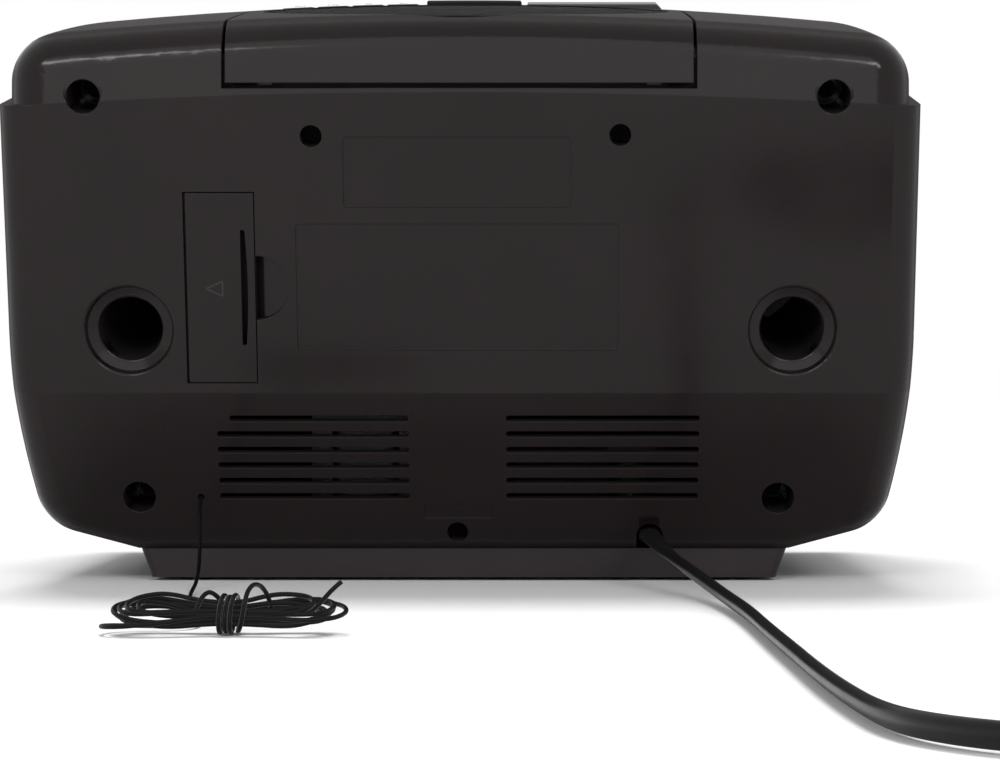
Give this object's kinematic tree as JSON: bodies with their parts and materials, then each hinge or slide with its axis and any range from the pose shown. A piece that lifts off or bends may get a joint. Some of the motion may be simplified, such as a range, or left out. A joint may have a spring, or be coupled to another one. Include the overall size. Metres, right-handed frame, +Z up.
{
  "type": "disc player clock radio",
  "caption": "Leaning bedside disc radio: hinged round-windowed top lid, sprung keys, knobs, speakers, rear battery door, bass ports, wire aerial and mains lead.",
  "frame": {"origin": "under the middle of the radio, on the surface it stands on", "axes": "+Z up, +Y towards the rear wall, +X towards the side with the battery door; the cabinet leans back 12 degrees about X"},
  "size_m": [0.4214, 0.6821, 0.2259],
  "materials": {
    "aluminium": "extruded",
    "bar_grey": "satin grey",
    "board_green": "solder-masked board",
    "cabinet_black": "satin moulded black",
    "contact": "nickel plated",
    "cord": "semi-gloss cord jacket",
    "display_dark": "dark display",
    "ferrite": "dull ferrite",
    "key_black": "satin black",
    "lens_tint": "tinted clear",
    "lid_black": "satin moulded black",
    "magnet_iron": "dull iron",
    "optic": "clear lens",
    "paper": "pressed fibre cone",
    "rubber": "matt rubber",
    "screw_steel": "plated steel",
    "steel": "bright steel",
    "well_black": "matt black",
    "window_smoke": "smoked clear"
  },
  "bodies": {
    "cabinet": {"aerial_hank": "cord", "aerial_lead": "cord", "aerial_tie": "cord", "battery_box": "well_black", "battery_contacts": "contact", "cabinet_screws": "screw_steel", "cd_deck": "well_black", "display_lens": "lens_tint", "display_module": "display_dark", "ferrite_aerial": "ferrite", "front_housing": "cabinet_black", "grille_left": "key_black", "grille_right": "key_black", "guide_rods": "steel", "headphone_jack": "well_black", "heat_sink": "aluminium", "hinge_pins": "steel", "key_board": "board_green", "main_board": "board_green", "mains_coil": "cord", "mains_lead": "cord", "mains_plug": "cord", "mech_dampers": "rubber", "mech_plate": "steel", "pedestal_base": "cabinet_black", "port_tubes": "well_black", "power_board": "board_green", "rear_housing": "cabinet_black", "rotary_controls": "steel", "rubber_feet": "rubber", "sled_motor": "steel", "speaker_cone_left": "paper", "speaker_cone_right": "paper", "speaker_frame_left": "steel", "speaker_frame_right": "steel", "speaker_magnets": "magnet_iron", "spindle_motor": "steel", "strain_relief": "cord", "transformer": "magnet_iron"},
    "lid": {"lid_shell": "lid_black", "lid_window": "window_smoke"},
    "volume_knob_body": {"volume_knob": "key_black"},
    "tuning_knob_body": {"tuning_knob": "key_black"},
    "turntable_body": {"turntable": "well_black"},
    "sled": {"pickup_sled": "well_black"},
    "lens": {"objective_lens": "optic"},
    "pinion": {"sled_pinion": "well_black"},
    "battery_door_body": {"battery_door": "cabinet_black"},
    "lid_release_body": {"lid_release": "key_black"},
    "snooze_bar_body": {"snooze_bar": "bar_grey"},
    "key_play_body": {"key_play": "key_black"},
    "key_stop_body": {"key_stop": "key_black"},
    "key_back_body": {"key_back": "key_black"},
    "key_skip_body": {"key_skip": "key_black"},
    "key_power_body": {"key_power": "key_black"},
    "key_band_body": {"key_band": "key_black"},
    "key_alarm_body": {"key_alarm": "key_black"},
    "key_sleep_body": {"key_sleep": "key_black"},
    "key_clock_body": {"key_clock": "key_black"}
  },
  "joints": [
    {"name": "lid_hinge", "type": "hinge", "parent": "cabinet", "child": "lid", "pos_m": [0, 0.10878, 0.17497], "axis": [-1, 0, 0], "range_deg": [0, 65]},
    {"name": "volume_turn", "type": "hinge", "parent": "cabinet", "child": "volume_knob_body", "pos_m": [0.033, -0.10486, 0.11018], "axis": [0, 0.9781, -0.2079], "range_deg": [-135, 135]},
    {"name": "tuning_turn", "type": "hinge", "parent": "cabinet", "child": "tuning_knob_body", "pos_m": [-0.033, -0.10486, 0.11018], "axis": [0, 0.9781, -0.2079], "continuous": true},
    {"name": "disc_spin", "type": "hinge", "parent": "cabinet", "child": "turntable_body", "pos_m": [0, 0.03008, 0.19191], "axis": [0, 0.2079, 0.9781], "continuous": true},
    {"name": "sled_slide", "type": "slide", "parent": "cabinet", "child": "sled", "axis": [0, -0.9781, 0.2079], "range_m": [0, 0.034]},
    {"name": "pinion_turn", "type": "hinge", "parent": "cabinet", "child": "pinion", "pos_m": [0.028, -0.01189, 0.19163], "axis": [0, 0.2079, 0.9781], "range_deg": [0, 330]},
    {"name": "lens_focus", "type": "slide", "parent": "sled", "child": "lens", "axis": [0, 0.2079, 0.9781], "range_m": [0, 0.0006], "stiffness_N_per_m": 30},
    {"name": "battery_door_hinge", "type": "hinge", "parent": "cabinet", "child": "battery_door_body", "pos_m": [0.0938, 0.09913, 0.10357], "axis": [0, -0.2079, -0.9781], "range_deg": [0, 75]},
    {"name": "lid_release_press", "type": "slide", "parent": "cabinet", "child": "lid_release_body", "axis": [0, -0.2079, -0.9781], "range_m": [0, 0.0012], "stiffness_N_per_m": 400},
    {"name": "snooze_bar_press", "type": "slide", "parent": "cabinet", "child": "snooze_bar_body", "axis": [0, -0.2079, -0.9781], "range_m": [0, 0.0012], "stiffness_N_per_m": 400},
    {"name": "key_play_press", "type": "slide", "parent": "cabinet", "child": "key_play_body", "axis": [0, -0.2079, -0.9781], "range_m": [0, 0.0012], "stiffness_N_per_m": 400},
    {"name": "key_stop_press", "type": "slide", "parent": "cabinet", "child": "key_stop_body", "axis": [0, -0.2079, -0.9781], "range_m": [0, 0.0012], "stiffness_N_per_m": 400},
    {"name": "key_back_press", "type": "slide", "parent": "cabinet", "child": "key_back_body", "axis": [0, -0.2079, -0.9781], "range_m": [0, 0.0012], "stiffness_N_per_m": 400},
    {"name": "key_skip_press", "type": "slide", "parent": "cabinet", "child": "key_skip_body", "axis": [0, -0.2079, -0.9781], "range_m": [0, 0.0012], "stiffness_N_per_m": 400},
    {"name": "key_power_press", "type": "slide", "parent": "cabinet", "child": "key_power_body", "axis": [0, 0.9781, -0.2079], "range_m": [0, 0.0012], "stiffness_N_per_m": 400},
    {"name": "key_band_press", "type": "slide", "parent": "cabinet", "child": "key_band_body", "axis": [0, 0.9781, -0.2079], "range_m": [0, 0.0012], "stiffness_N_per_m": 400},
    {"name": "key_alarm_press", "type": "slide", "parent": "cabinet", "child": "key_alarm_body", "axis": [0, 0.9781, -0.2079], "range_m": [0, 0.0012], "stiffness_N_per_m": 400},
    {"name": "key_sleep_press", "type": "slide", "parent": "cabinet", "child": "key_sleep_body", "axis": [0, 0.9781, -0.2079], "range_m": [0, 0.0012], "stiffness_N_per_m": 400},
    {"name": "key_clock_press", "type": "slide", "parent": "cabinet", "child": "key_clock_body", "axis": [0, 0.9781, -0.2079], "range_m": [0, 0.0012], "stiffness_N_per_m": 400}
  ],
  "couplings": [
    {"joint": "pinion_turn", "follows": "sled_slide", "rad_per_m": 166.67}
  ]
}
